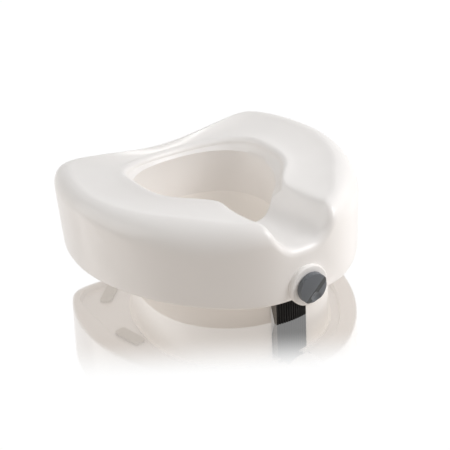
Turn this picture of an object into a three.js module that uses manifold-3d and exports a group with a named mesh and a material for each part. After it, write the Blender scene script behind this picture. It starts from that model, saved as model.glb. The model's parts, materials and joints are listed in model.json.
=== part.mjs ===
// Raised toilet seat with a front locking clamp.
// Millimetres, +Z up, front of the seat towards -Y, +X to the right of someone facing its front.
// The origin lies on the surface the seat stands on, under the middle of the whole object.
import * as THREE from 'three';
import { mergeVertices } from 'three/addons/utils/BufferGeometryUtils.js';
import Module from 'manifold-3d';

const wasm = await Module();
wasm.setup();

// ---------- driving dimensions ----------
const GAP = 0.3; // clearance between touching pieces

// moulded seat body, in its own frame: Z = 0 at its lower edge, X = 0 on the middle plane
const BODY_HALF_WIDTH = 205;
const BODY_FRONT = 253;
const NOSE_FLATTEN = 10; // the very front is blunter than the superellipse
const NOSE_WIDTH = 48;
const BODY_BACK = 137;
const BACK_SEMI_AXIS = 234;
const CORNER_POWER = 24; // the higher, the tighter the two back corners
const FRONT_POWER = 1.82; // superellipse power of the front half of the outline
const CREST_HEIGHT = 111;
const BACK_DIP = 15.5;
const BACK_DIP_WIDTH = 115;
const DISH_DEPTH = 4;
const FRONT_RISE = 2; // the crest beside the scoop stands higher than at the back
const INNER_DROP = 5.5; // the crest round the opening, below the outer one
const DRAFT = 2;
const CORNER_DRAFT = 3.5;
const SHOULDER_RADIUS = 24;
const FRONT_SHOULDER_EXTRA = 14;
const LIP_RADIUS = 11.5;
const EDGE_RADIUS = 5;
const WALL = 4; // wall thickness of the hollow moulding
const BORDER_WIDTH = 27; // of the body's lower rim, at the sides and front
const BORDER_WIDTH_BACK = 12;
const UNDERSIDE = 8; // ceiling of the recess that sits on the bowl's rim

// opening, at its sharp inner edge and at the rolled crest above it
const EDGE_HALF_WIDTH = 99;
const EDGE_CENTRE_Y = 9;
const EDGE_FRONT = 134;
const EDGE_FRONT_POWER = 1.75;
const EDGE_BACK = 86;
const EDGE_HEIGHT = 84;
const CREST_HALF_WIDTH = 104;
const CREST_CENTRE_Y = 20;
const CREST_BACK = 85;
const CREST_FRONT_Y = -134;
const CREST_FRONT_HALF_WIDTH = 45;
const CREST_TAPER_POWER = 1.9;
const CREST_ROLL = 9;
const INNER_FLARE = 0.12; // how much the inner wall opens towards the bottom, per mm of height

// hygiene scoop in the front
const SCOOP_HALF_WIDTH = 47.6;
const SCOOP_POWER = 3.2; // how flat the bottom of its U is
const SCOOP_FRONT_Z = 73;
const SCOOP_BACK_Z = 62.5;

// splash guard: flange under the body and a skirt that hangs into the bowl
const SKIRT_DEPTH = 54;
const SKIRT_HALF_WIDTH = 135.4;
const SKIRT_CENTRE_Y = -62;
const SKIRT_FRONT = 136.5;
const SKIRT_BACK = 180;
const SKIRT_FRONT_POWER = 2.06;
const SKIRT_BACK_POWER = 2.2;
const SKIRT_WALL = 3.5;
const FLANGE_THICKNESS = 3;
const FLANGE_LEDGE = 4;
const FUNNEL_WALL = 2.2; // inner wall of the guard, from the opening down, inside the skirt
const FUNNEL_HALF_WIDTH = 114; // its lower edge, centred as the skirt is
const FUNNEL_FRONT = 105;
const FUNNEL_BACK = 166;
const FUNNEL_POWER = 1.6; // it starts upright and flares towards the bottom
const FUNNEL_STEPS = 5;

// clamp, on an axis along Y
const AXIS_Z = 18.8;
const BOSS_RADIUS = 28.5;
const BOSS_PROUD = 7;
const BUSH_RADIUS = 8;
const SPINDLE_RADIUS = 4;
const SPINDLE_END_Y = -151;
const COUNTERBORE_RADIUS = 13;
const COUNTERBORE_DEPTH = 3.4;
const KNOB_RADIUS = 21;
const KNOB_THICKNESS = 10.5;
const RIDGE_ANGLE = THREE.MathUtils.degToRad(50); // direction of the finger ridge, from X
const RIDGE_SLOPE = 0.12; // fall of the two faces beside the ridge
// finger dishes: side of the ridge, radius, stretch along the ridge, distance from it, depth
const DISHES = [[-1, 22, 1, 11.5, 3], [1, 13, 1.5, 14, 6.2]];
const POCKET_HALF_WIDTH = 21;
const POCKET_TOP = 30;
const POCKET_FRONT_Y = -226;
const POCKET_BACK_Y = -147;
const SLOT_BACK_Y = -147;
const SLIDER_HALF_WIDTH = 20;
const SLIDER_LENGTH = 30;
const SLIDER_FRONT_Y = -203;
const STEM_HALF_WIDTH = 15;
const PAD_HALF_WIDTH = 24;
const PAD_FACE_Y = -207;
const PAD_TOP_DEPTH = 22;
const PAD_BOTTOM_DEPTH = 6;
const PAD_TOP_Z = -2;
const PAD_RIBS = 13;
const RIB_DEPTH = 1.6;
const PAD_BOW = 2.5; // the ribbed face bows forward in the middle

// place of the body frame in the object's frame
const BOSS_FACE_Y = -(BODY_FRONT - NOSE_FLATTEN + BOSS_PROUD);
const KNOB_BACK_Y = BOSS_FACE_Y - 0.9;
const KNOB_FRONT_Y = KNOB_BACK_Y - KNOB_THICKNESS;
const CENTRE_Y = (BODY_BACK + DRAFT + KNOB_FRONT_Y) / 2;

// ---------- materials ----------
const finish = (color, roughness, metalness = 0) => ({ color, roughness, metalness });
const WHITE_PLASTIC = finish(0xf2efeb, 0.32);
const IVORY_PLASTIC = finish(0xece6da, 0.4);
const GREY_PLASTIC = finish(0x6f7982, 0.45);
const BLACK_PLASTIC = finish(0x2a2a2b, 0.55);
const BLACK_RUBBER = finish(0x1f1f20, 0.85);
const PALE_RUBBER = finish(0xe2dfd9, 0.7);
const STEEL = finish(0xb9bcc0, 0.35, 1);

const seat = new THREE.Group();
seat.position.set(0, -CENTRE_Y, SKIRT_DEPTH);

function addPart(name, geometry, look) {
  const mesh = new THREE.Mesh(geometry, new THREE.MeshStandardMaterial(look));
  mesh.name = name;
  seat.add(mesh);
  return mesh;
}

// ---------- solids ----------
function toSolid(geometry) {
  const bare = geometry.index ? geometry.toNonIndexed() : geometry.clone();
  bare.deleteAttribute('normal');
  bare.deleteAttribute('uv');
  const merged = mergeVertices(bare, 1e-4);
  return new wasm.Manifold(new wasm.Mesh({
    numProp: 3,
    vertProperties: new Float32Array(merged.attributes.position.array),
    triVerts: new Uint32Array(merged.index.array),
  }));
}

function toGeometry(solid) {
  const mesh = solid.getMesh();
  const geometry = new THREE.BufferGeometry();
  geometry.setAttribute('position', new THREE.BufferAttribute(new Float32Array(mesh.vertProperties), 3));
  geometry.setIndex(new THREE.BufferAttribute(new Uint32Array(mesh.triVerts), 1));
  const flat = geometry.toNonIndexed();
  flat.computeVertexNormals();
  return flat;
}

function box(x0, x1, y0, y1, z0, z1) {
  const geometry = new THREE.BoxGeometry(x1 - x0, y1 - y0, z1 - z0);
  geometry.translate((x0 + x1) / 2, (y0 + y1) / 2, (z0 + z1) / 2);
  return geometry;
}

// a turned piece on the clamp axis: profile points are [radius, y]
function turned(profile, segments = 32) {
  const points = profile.map(([r, y]) => new THREE.Vector2(r, y));
  const geometry = new THREE.LatheGeometry(points, segments);
  geometry.translate(0, 0, AXIS_Z);
  return geometry;
}

function ringOnAxis(inner, outer, y0, y1, segments = 32) {
  return turned([[inner, y0], [outer, y0], [outer, y1], [inner, y1], [inner, y0]], segments);
}

function rodOnAxis(radius, y0, y1, segments = 32) {
  return turned([[0, y0], [radius, y0], [radius, y1], [0, y1]], segments);
}

// a flat outline in the XY plane raised from z0 to z1
function slab(outline, z0, z1, holes = []) {
  const shape = new THREE.Shape(outline.map(([x, y]) => new THREE.Vector2(x, y)));
  for (const hole of holes) {
    shape.holes.push(new THREE.Path(hole.map(([x, y]) => new THREE.Vector2(x, y))));
  }
  const geometry = new THREE.ExtrudeGeometry(shape, { depth: z1 - z0, bevelEnabled: false });
  geometry.translate(0, 0, z0);
  return geometry;
}

const smooth = (t) => {
  const u = Math.min(1, Math.max(0, t));
  return u * u * (3 - 2 * u);
};
const mix = (a, b, t) => a + (b - a) * t;

// ---------- plan curves: each is negative inside, positive outside ----------
function ovalLevel(x, y, halfWidth, centreY, front, back, frontPower, backPower) {
  const reach = y < centreY ? front : back;
  const power = y < centreY ? frontPower : backPower;
  return (Math.abs(x) / halfWidth) ** power + (Math.abs(y - centreY) / reach) ** power - 1;
}

const edgeLevel = (grow) => (x, y) => ovalLevel(
  x, y, EDGE_HALF_WIDTH + grow, EDGE_CENTRE_Y, EDGE_FRONT + grow, EDGE_BACK + grow, EDGE_FRONT_POWER, 2.3,
);

// the crest is a keyhole: round at the back, and tapering into the two sides of the scoop
function crestLevel(x, y) {
  if (y >= CREST_CENTRE_Y) {
    return ovalLevel(x, y, CREST_HALF_WIDTH, CREST_CENTRE_Y, 1, CREST_BACK, 2, 2.3);
  }
  const along = Math.min(1, (CREST_CENTRE_Y - y) / (CREST_CENTRE_Y - CREST_FRONT_Y));
  const narrow = (1 - Math.cos(Math.PI * along ** CREST_TAPER_POWER)) / 2;
  const halfWidth = mix(CREST_HALF_WIDTH, CREST_FRONT_HALF_WIDTH, narrow);
  return Math.max(Math.abs(x) / halfWidth - 1, (CREST_FRONT_Y - y) / 100);
}

const frontReach = (x) => BODY_FRONT - NOSE_FLATTEN * Math.exp(-((x / NOSE_WIDTH) ** 2));

// outline of the body at its lower edge: a narrow-nosed front half, and a back half whose
// elliptical sides meet the straight back edge in a round corner
function outlineLevel(x, y) {
  const across = Math.abs(x) / BODY_HALF_WIDTH;
  if (y < 0) {
    return across ** FRONT_POWER + (-y / frontReach(x)) ** FRONT_POWER - 1;
  }
  const side = Math.hypot(across, y / BACK_SEMI_AXIS);
  return side ** CORNER_POWER + (y / BODY_BACK) ** CORNER_POWER - 1;
}

function frontEdgeY(x) {
  return -frontReach(x) * (1 - (Math.abs(x) / BODY_HALF_WIDTH) ** FRONT_POWER) ** (1 / FRONT_POWER);
}

// ---------- stations round the seat ----------
// Each station is a vertical cutting plane: a point on the outline and the way inwards from it.
// Across the scoop the planes are parallel; round the rest each runs to its own point of the opening.
const PARALLEL_XS = [0, 12, 22, 30, 36, 41, 45, 49, 53, 56, 59, 62, 66, 73];
const TURNED_STATIONS = 26;
const EDGE_LAG = 1.43; // the opening's edge is met slowly at first, so that planes never cross

// distance from a point along a direction to the curve where a level function is zero
function distanceTo(level, x, y, dx, dy, limit) {
  let low = 0;
  let high = limit;
  const startsOutside = level(x, y) > 0;
  for (let i = 0; i < 40; i += 1) {
    const middle = (low + high) / 2;
    const outside = level(x + dx * middle, y + dy * middle) > 0;
    if (outside === startsOutside) low = middle;
    else high = middle;
  }
  return low;
}

// the point where a ray from the middle plane meets a curve; heading 0 is the front, then towards +X
function pointAt(level, centreY, heading) {
  const out = distanceTo(level, 0, centreY, Math.sin(heading), -Math.cos(heading), 400);
  return [out * Math.sin(heading), centreY - out * Math.cos(heading)];
}

function stationBetween([x, y], [edgeX, edgeY]) {
  const toEdge = Math.hypot(edgeX - x, edgeY - y);
  return { x, y, dx: (edgeX - x) / toEdge, dy: (edgeY - y) / toEdge, toEdge };
}

function halfStations() {
  const list = PARALLEL_XS.map((x) => {
    const y = frontEdgeY(x);
    return stationBetween([x, y], [x, y + distanceTo(edgeLevel(0), x, y, 0, 1, EDGE_CENTRE_Y - y)]);
  });
  const last = list[list.length - 1];
  const outerStart = Math.atan2(last.x, -last.y);
  const edgeStart = Math.atan2(last.x, EDGE_CENTRE_Y - last.y - last.toEdge);
  for (let i = 1; i <= TURNED_STATIONS; i += 1) {
    const share = i / TURNED_STATIONS;
    const outer = pointAt(outlineLevel, 0, mix(outerStart, Math.PI, share));
    const edge = pointAt(edgeLevel(0), EDGE_CENTRE_Y, mix(edgeStart, Math.PI, share ** EDGE_LAG));
    list.push(stationBetween(outer, edge));
  }
  return list;
}

function allStations() {
  const half = halfStations();
  const left = half.slice(1, -1).reverse().map((s) => ({ ...s, x: -s.x, dx: -s.dx }));
  return [...half, ...left];
}

// ---------- heights of the top ----------
// 0 at the bottom of the scoop's U, 1 where the seat's top begins beside it
function besideScoop(x) {
  const wall = (Math.abs(x) / SCOOP_HALF_WIDTH) ** SCOOP_POWER;
  return wall / (1 + wall ** 6) ** (1 / 6);
}

function crestHeight(x, y) {
  const dip = BACK_DIP * Math.exp(-((x / BACK_DIP_WIDTH) ** 2)) * smooth((y - 20) / 110);
  const frontRise = FRONT_RISE * smooth((-y - 60) / 150);
  return CREST_HEIGHT + frontRise - dip;
}

// ---------- one cross-section of the body ----------
// u runs inwards from the outline; inset moves the section into the material, for the hollow inside
function section(station, inset) {
  const { x, y, dx, dy, toEdge } = station;
  const beside = y < 0 ? besideScoop(x) : 1;
  const atCorner = Math.exp(-(((Math.abs(x) - 165) / 50) ** 2)) * smooth((y - 20) / 80);
  const atFrontQuarter = Math.exp(-(((Math.abs(x) - 125) / 55) ** 2)) * smooth(-y / 80);
  const draft = DRAFT + CORNER_DRAFT * atCorner;
  const shoulder = mix(LIP_RADIUS, SHOULDER_RADIUS + FRONT_SHOULDER_EXTRA * atFrontQuarter, beside);
  const rimZ = mix(SCOOP_FRONT_Z, crestHeight(x, y), beside);
  const innerZ = mix(SCOOP_BACK_Z, crestHeight(x * 0.6, y * 0.8 + 10) - INNER_DROP, beside);
  const toCrest = Math.min(toEdge - 3, distanceTo(crestLevel, x, y, dx, dy, toEdge));
  const climb = Math.max(0, (innerZ - EDGE_HEIGHT) / (CREST_HEIGHT - INNER_DROP - EDGE_HEIGHT));
  const toInner = mix(toEdge - 1.5, toCrest, Math.min(1, climb));
  const edgeZ = Math.min(EDGE_HEIGHT, innerZ - 3);
  const border = mix(BORDER_WIDTH, BORDER_WIDTH_BACK, smooth((y - 40) / 80));
  const roll = mix(3, CREST_ROLL, beside);

  const points = [];
  const put = (u, z) => points.push(new THREE.Vector3(x + dx * u, y + dy * u, z));
  const wallU = (z) => inset - draft * (z / CREST_HEIGHT);

  put(toEdge - INNER_FLARE * (edgeZ - UNDERSIDE) - inset, UNDERSIDE + inset);
  if (inset === 0) {
    put(border + 2, UNDERSIDE);
    put(border, 0);
    put(EDGE_RADIUS, 0);
    put(EDGE_RADIUS * 0.3, EDGE_RADIUS * 0.3);
    put(wallU(EDGE_RADIUS), EDGE_RADIUS);
  } else {
    put(border, UNDERSIDE + inset);
    put(wallU(UNDERSIDE + inset), UNDERSIDE + inset);
  }
  put(wallU(32), 32);

  const radius = shoulder - inset;
  const topZ = rimZ - inset;
  const arcU = wallU(topZ - radius);
  const arcSteps = inset ? 3 : 6;
  for (let i = 0; i <= arcSteps; i += 1) {
    const angle = (i / arcSteps) * (Math.PI / 2);
    put(arcU + radius * (1 - Math.cos(angle)), topZ - radius * (1 - Math.sin(angle)));
  }

  const topEnd = toInner - roll - inset;
  const topSteps = inset ? 3 : 6;
  for (let i = 1; i <= topSteps; i += 1) {
    const share = i / topSteps;
    const dish = DISH_DEPTH * beside * (1 - (1 - share) ** 4 - share ** 6);
    put(mix(arcU + radius, topEnd, share), mix(topZ, innerZ - inset, share) - dish);
  }
  const rollSteps = inset ? 1 : 4;
  for (let i = 1; i <= rollSteps; i += 1) {
    const angle = (i / rollSteps) * (Math.PI / 2);
    put(topEnd + roll * Math.sin(angle), innerZ - inset - roll * 0.9 * (1 - Math.cos(angle)));
  }
  put(toEdge - inset, edgeZ - roll * 0.9 * (1 - Math.min(1, climb)) - (inset ? 2 : 0));
  return points;
}

// closed ring of cross-sections
function loft(rings) {
  const positions = [];
  const corner = (i, j) => rings[i % rings.length][j % rings[0].length];
  const push = (...vectors) => vectors.forEach((v) => positions.push(v.x, v.y, v.z));
  for (let i = 0; i < rings.length; i += 1) {
    for (let j = 0; j < rings[0].length; j += 1) {
      push(corner(i, j), corner(i + 1, j), corner(i + 1, j + 1));
      push(corner(i, j), corner(i + 1, j + 1), corner(i, j + 1));
    }
  }
  const geometry = new THREE.BufferGeometry();
  geometry.setAttribute('position', new THREE.Float32BufferAttribute(positions, 3));
  return geometry;
}

const stations = allStations();
const cavityStations = stations.filter((s, i) => i % 2 === 0);

// ---------- fasteners that hold the splash guard: [name, x, y] ----------
const GUARD_SCREWS = [
  ['front_left', -50, -165],
  ['front_right', 50, -165],
  ['side_left', -120, -30],
  ['side_right', 120, -30],
  ['rear', 0, 110.7],
];
const SCREW_RADIUS = 2;
const SCREW_HEAD_RADIUS = 3.2;
const SCREW_HEAD_HEIGHT = 2;
const FLANGE_TOP = UNDERSIDE - GAP;
const FLANGE_BOTTOM = FLANGE_TOP - FLANGE_THICKNESS;

function upright(radius, x, y, z0, z1, segments = 16) {
  const geometry = new THREE.CylinderGeometry(radius, radius, z1 - z0, segments);
  geometry.rotateX(Math.PI / 2);
  geometry.translate(x, y, (z0 + z1) / 2);
  return geometry;
}

// ---------- seat body ----------
function makeBody() {
  let solid = toSolid(loft(stations.map((s) => section(s, 0))));
  const keepOut = toSolid(box(
    -POCKET_HALF_WIDTH - WALL, POCKET_HALF_WIDTH + WALL, -300, POCKET_BACK_Y + WALL, -5, POCKET_TOP + WALL,
  ));
  const cavity = toSolid(loft(cavityStations.map((s) => section(s, WALL)))).subtract(keepOut);
  const boss = turned([
    [0, BOSS_FACE_Y], [BOSS_RADIUS - 2.5, BOSS_FACE_Y], [BOSS_RADIUS - 0.7, BOSS_FACE_Y + 0.7],
    [BOSS_RADIUS, BOSS_FACE_Y + 2.5], [BOSS_RADIUS, POCKET_FRONT_Y - 3], [0, POCKET_FRONT_Y - 3],
  ], 48);
  solid = solid.add(toSolid(boss)).subtract(cavity);
  const cuts = [
    box(-POCKET_HALF_WIDTH, POCKET_HALF_WIDTH, POCKET_FRONT_Y, POCKET_BACK_Y, -20, POCKET_TOP),
    rodOnAxis(BUSH_RADIUS + GAP, -300, POCKET_FRONT_Y + 4),
    rodOnAxis(COUNTERBORE_RADIUS, -300, BOSS_FACE_Y + COUNTERBORE_DEPTH),
    ...GUARD_SCREWS.map(([, x, y]) => upright(SCREW_RADIUS + GAP, x, y, UNDERSIDE - 1, UNDERSIDE + WALL + 1)),
  ];
  for (const cut of cuts) solid = solid.subtract(toSolid(cut));
  return toGeometry(solid);
}
addPart('seat_body', makeBody(), WHITE_PLASTIC);

// ---------- splash guard ----------
const skirtLevel = (grow) => (x, y) => ovalLevel(
  x, y, SKIRT_HALF_WIDTH + grow, SKIRT_CENTRE_Y, SKIRT_FRONT + grow, SKIRT_BACK + grow,
  SKIRT_FRONT_POWER, SKIRT_BACK_POWER,
);

function outlineOf(level, centreY, steps) {
  return Array.from({ length: steps }, (_, i) => pointAt(level, centreY, (i / steps) * 2 * Math.PI));
}

// the funnel's wall as cross-sections that run down its inner face and up its outer face
function makeFunnel(mouthGrow) {
  const top = outlineOf(edgeLevel(mouthGrow - 0.3), EDGE_CENTRE_Y, 80);
  const bottomLevel = (x, y) => ovalLevel(
    x, y, FUNNEL_HALF_WIDTH, SKIRT_CENTRE_Y, FUNNEL_FRONT, FUNNEL_BACK, SKIRT_FRONT_POWER, SKIRT_BACK_POWER,
  );
  const bottom = outlineOf(bottomLevel, SKIRT_CENTRE_Y, 80);
  const rings = top.map(([topX, topY], i) => {
    const [bottomX, bottomY] = bottom[i];
    const heading = (i / 80) * 2 * Math.PI;
    const at = (share, out) => new THREE.Vector3(
      mix(topX, bottomX, share ** FUNNEL_POWER) + out * Math.sin(heading),
      mix(topY, bottomY, share ** FUNNEL_POWER) - out * Math.cos(heading),
      mix(FLANGE_TOP - 0.4, -SKIRT_DEPTH, share),
    );
    const shares = Array.from({ length: FUNNEL_STEPS + 1 }, (_, j) => j / FUNNEL_STEPS);
    return [...shares.map((t) => at(t, 0)), ...shares.reverse().map((t) => at(t, FUNNEL_WALL))];
  });
  return toSolid(loft(rings));
}

function makeGuard() {
  const skirtAt = (grow) => outlineOf(skirtLevel(grow), SKIRT_CENTRE_Y, 80);
  const mouthGrow = INNER_FLARE * (EDGE_HEIGHT - UNDERSIDE) + 1;
  const mouth = outlineOf(edgeLevel(mouthGrow), EDGE_CENTRE_Y, 60).reverse();
  const flange = slab(skirtAt(FLANGE_LEDGE), FLANGE_BOTTOM, FLANGE_TOP, [mouth]);
  const skirt = slab(skirtAt(0), -SKIRT_DEPTH, FLANGE_BOTTOM + 1, [skirtAt(-SKIRT_WALL).reverse()]);
  const slot = STEM_HALF_WIDTH + 1;
  const gap = PAD_HALF_WIDTH + 1.5;
  const niche = box(
    -gap - FUNNEL_WALL, gap + FUNNEL_WALL, -194, SLOT_BACK_Y + FUNNEL_WALL, -SKIRT_DEPTH, FLANGE_BOTTOM + 1,
  );
  const cuts = [
    box(-slot, slot, -240, SLOT_BACK_Y, FLANGE_BOTTOM - 20, FLANGE_TOP + 1),
    box(-gap, gap, -240, SLOT_BACK_Y, -SKIRT_DEPTH - 5, FLANGE_BOTTOM),
    ...GUARD_SCREWS.map(([, x, y]) => upright(SCREW_RADIUS + GAP, x, y, 0, UNDERSIDE + 1)),
  ];
  let solid = toSolid(flange).add(toSolid(skirt)).add(makeFunnel(mouthGrow)).add(toSolid(niche));
  for (const cut of cuts) solid = solid.subtract(toSolid(cut));
  return toGeometry(solid);
}
addPart('splash_guard', makeGuard(), IVORY_PLASTIC);

for (const [name, x, y] of GUARD_SCREWS) {
  const headTop = FLANGE_BOTTOM - GAP;
  const profile = [
    [0, headTop - SCREW_HEAD_HEIGHT], [SCREW_HEAD_RADIUS - 1, headTop - SCREW_HEAD_HEIGHT],
    [SCREW_HEAD_RADIUS, headTop - SCREW_HEAD_HEIGHT + 1], [SCREW_HEAD_RADIUS, headTop],
    [SCREW_RADIUS, headTop], [SCREW_RADIUS, UNDERSIDE + WALL + 3], [0, UNDERSIDE + WALL + 5],
  ];
  const geometry = new THREE.LatheGeometry(profile.map(([r, z]) => new THREE.Vector2(r, z)), 14);
  geometry.rotateX(Math.PI / 2);
  geometry.translate(x, y, 0);
  addPart(`guard_screw_${name}`, geometry, STEEL);
}

// ---------- rubber grip pads under the body, where it sits on the bowl's rim ----------
const GRIP_LENGTH = 50;
const GRIP_WIDTH = 18;
const GRIP_THICKNESS = 3.5;
const GRIP_CORNER = 5;
const GRIPS = [
  ['front_left', -1, 0.36],
  ['front_right', 1, 0.36],
  ['rear_left', -1, 0.64],
  ['rear_right', 1, 0.64],
];

function roundedRectangle(width, length, corner) {
  const x = width / 2 - corner;
  const y = length / 2 - corner;
  const shape = new THREE.Shape();
  shape.absarc(x, y, corner, 0, Math.PI / 2);
  shape.absarc(-x, y, corner, Math.PI / 2, Math.PI);
  shape.absarc(-x, -y, corner, Math.PI, Math.PI * 1.5);
  shape.absarc(x, -y, corner, Math.PI * 1.5, Math.PI * 2);
  return shape;
}

for (const [name, side, share] of GRIPS) {
  const station = stations[PARALLEL_XS.length + Math.round(share * TURNED_STATIONS)];
  const toSkirt = distanceTo(
    skirtLevel(FLANGE_LEDGE), station.x, station.y, station.dx, station.dy, station.toEdge,
  );
  const border = mix(BORDER_WIDTH, BORDER_WIDTH_BACK, smooth((station.y - 40) / 80));
  const middle = (toSkirt + border + 2) / 2;
  const geometry = new THREE.ExtrudeGeometry(
    roundedRectangle(GRIP_WIDTH, GRIP_LENGTH, GRIP_CORNER),
    { depth: GRIP_THICKNESS, bevelEnabled: false, curveSegments: 4 },
  );
  geometry.rotateZ(side * Math.atan2(station.dy, station.dx));
  const x = side * (station.x + station.dx * middle);
  const y = station.y + station.dy * middle;
  geometry.translate(x, y, UNDERSIDE - GAP - GRIP_THICKNESS);
  addPart(`grip_pad_${name}`, geometry, PALE_RUBBER);
}

// ---------- rubber stops on the back of the skirt, bearing on the inside of the bowl ----------
const STOP_SPAN = 0.16; // radians of heading
const STOP_START = 0.1;
const STOP_THICKNESS = 3;
for (const [name, side] of [['left', -1], ['right', 1]]) {
  const arc = (grow) => Array.from({ length: 7 }, (_, i) => {
    const heading = Math.PI - side * (STOP_START + (STOP_SPAN * i) / 6);
    return pointAt(skirtLevel(grow), SKIRT_CENTRE_Y, heading);
  });
  const outline = [...arc(GAP), ...arc(GAP + STOP_THICKNESS).reverse()];
  addPart(`rear_stop_${name}`, slab(outline, -44, -10), BLACK_RUBBER);
}

// ---------- clamp: bush, washer, spindle, clip ----------
const BUSH_BACK_Y = POCKET_FRONT_Y + 0.4;
const FLANGE_FACE_Y = BOSS_FACE_Y + COUNTERBORE_DEPTH - GAP;
addPart('spindle_bush', turned([
  [SPINDLE_RADIUS + GAP, FLANGE_FACE_Y - 2], [COUNTERBORE_RADIUS - 1, FLANGE_FACE_Y - 2],
  [COUNTERBORE_RADIUS - 1, FLANGE_FACE_Y], [BUSH_RADIUS, FLANGE_FACE_Y],
  [BUSH_RADIUS, BUSH_BACK_Y], [SPINDLE_RADIUS + GAP, BUSH_BACK_Y],
  [SPINDLE_RADIUS + GAP, FLANGE_FACE_Y - 2],
]), BLACK_PLASTIC);

addPart('thrust_washer', ringOnAxis(
  SPINDLE_RADIUS + GAP, COUNTERBORE_RADIUS - 2, FLANGE_FACE_Y - 3.5, FLANGE_FACE_Y - 2.3,
), STEEL);

const CLIP_FRONT_Y = POCKET_FRONT_Y + 0.8;
const CLIP_THICKNESS = 1;
const GROOVE_RADIUS = SPINDLE_RADIUS - 0.8;
const HEAD_FRONT_Y = KNOB_FRONT_Y + 5.3;
const HEAD_BACK_Y = HEAD_FRONT_Y + 4.2;
const HEX_RADIUS = 6.4;

function hexOnAxis(radius, y0, y1) {
  const geometry = new THREE.CylinderGeometry(radius, radius, y1 - y0, 6);
  geometry.translate(0, (y0 + y1) / 2, AXIS_Z);
  return geometry;
}

function makeSpindle() {
  const rod = turned([
    [0, HEAD_BACK_Y - 1], [SPINDLE_RADIUS, HEAD_BACK_Y - 1],
    [SPINDLE_RADIUS, CLIP_FRONT_Y - GAP], [GROOVE_RADIUS, CLIP_FRONT_Y - GAP],
    [GROOVE_RADIUS, CLIP_FRONT_Y + CLIP_THICKNESS + GAP], [SPINDLE_RADIUS, CLIP_FRONT_Y + CLIP_THICKNESS + GAP],
    [SPINDLE_RADIUS, SPINDLE_END_Y - 1], [SPINDLE_RADIUS - 1, SPINDLE_END_Y], [0, SPINDLE_END_Y],
  ], 24);
  return toGeometry(toSolid(rod).add(toSolid(hexOnAxis(HEX_RADIUS, HEAD_FRONT_Y, HEAD_BACK_Y))));
}
addPart('spindle', makeSpindle(), STEEL);

function makeClip() {
  const clipBack = CLIP_FRONT_Y + CLIP_THICKNESS;
  const ring = toSolid(ringOnAxis(GROOVE_RADIUS + 0.2, SPINDLE_RADIUS + 3.5, CLIP_FRONT_Y, clipBack));
  const mouth = box(-2.2, 2.2, CLIP_FRONT_Y - 1, CLIP_FRONT_Y + 2, AXIS_Z - 12, AXIS_Z);
  return toGeometry(ring.subtract(toSolid(mouth)));
}
addPart('retaining_clip', makeClip(), STEEL);

// ---------- knob: a disc with a diagonal finger ridge and a dish on each side of it ----------
function makeKnob() {
  let solid = toSolid(turned([
    [0, KNOB_FRONT_Y], [KNOB_RADIUS - 1.2, KNOB_FRONT_Y], [KNOB_RADIUS - 0.3, KNOB_FRONT_Y + 0.3],
    [KNOB_RADIUS, KNOB_FRONT_Y + 1.2], [KNOB_RADIUS, KNOB_BACK_Y - 1], [KNOB_RADIUS - 1, KNOB_BACK_Y],
    [0, KNOB_BACK_Y],
  ], 56));
  const depth = KNOB_RADIUS + 5;
  for (const [side, radius, stretch, distance, floor] of DISHES) {
    const wedge = new THREE.Shape([
      new THREE.Vector2(0.6 * side, -0.1), new THREE.Vector2(depth * side, depth * RIDGE_SLOPE),
      new THREE.Vector2(depth * side, -5), new THREE.Vector2(0.6 * side, -5),
    ]);
    const roof = new THREE.ExtrudeGeometry(wedge, { depth: 80, bevelEnabled: false });
    roof.translate(0, 0, -40);
    const dish = new THREE.SphereGeometry(radius, 28, 20);
    dish.scale(1, 1, stretch);
    dish.translate(distance * side, floor - radius, 0);
    for (const cut of [roof, dish]) {
      cut.rotateY(Math.PI / 2 - RIDGE_ANGLE);
      cut.translate(0, KNOB_FRONT_Y, AXIS_Z);
      solid = solid.subtract(toSolid(cut));
    }
  }
  const socket = hexOnAxis(HEX_RADIUS + GAP * 1.3, HEAD_FRONT_Y - GAP, KNOB_BACK_Y + 1);
  return toGeometry(solid.subtract(toSolid(socket)));
}
addPart('knob', makeKnob(), GREY_PLASTIC);

// ---------- sliding clamp: slider with its stem, nut, backing plate, ribbed pad, screws ----------
const NUT_HALF = 6.5;
const NUT_LENGTH = 6.5;
const NUT_FRONT_Y = SLIDER_FRONT_Y + 12;
const BACKING = 2;
const STEM_THICKNESS = 8;
const PAD_BOTTOM_Z = -SKIRT_DEPTH;

// y of the pad's sloping back at a height
function padBackY(z) {
  const share = (z - PAD_BOTTOM_Z) / (PAD_TOP_Z - PAD_BOTTOM_Z);
  return PAD_FACE_Y + mix(PAD_BOTTOM_DEPTH, PAD_TOP_DEPTH, share);
}

// a side outline in the YZ plane, as [y, z], spread over a half width in X
function sideSlab(outline, halfWidth) {
  const shape = new THREE.Shape(outline.map(([y, z]) => new THREE.Vector2(y, z)));
  const geometry = new THREE.ExtrudeGeometry(shape, { depth: halfWidth * 2, bevelEnabled: false });
  geometry.rotateY(Math.PI / 2);
  geometry.rotateX(Math.PI / 2);
  geometry.translate(-halfWidth, 0, 0);
  return geometry;
}

const PAD_SCREWS = [['upper', -16], ['lower', -38]];
const PAD_SCREW_RADIUS = 2;
const PAD_SCREW_HEAD_RADIUS = 3.8;

function along(radius, y0, y1, z, segments = 14) {
  const geometry = new THREE.CylinderGeometry(radius, radius, y1 - y0, segments);
  geometry.translate(0, (y0 + y1) / 2, z);
  return geometry;
}

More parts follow.
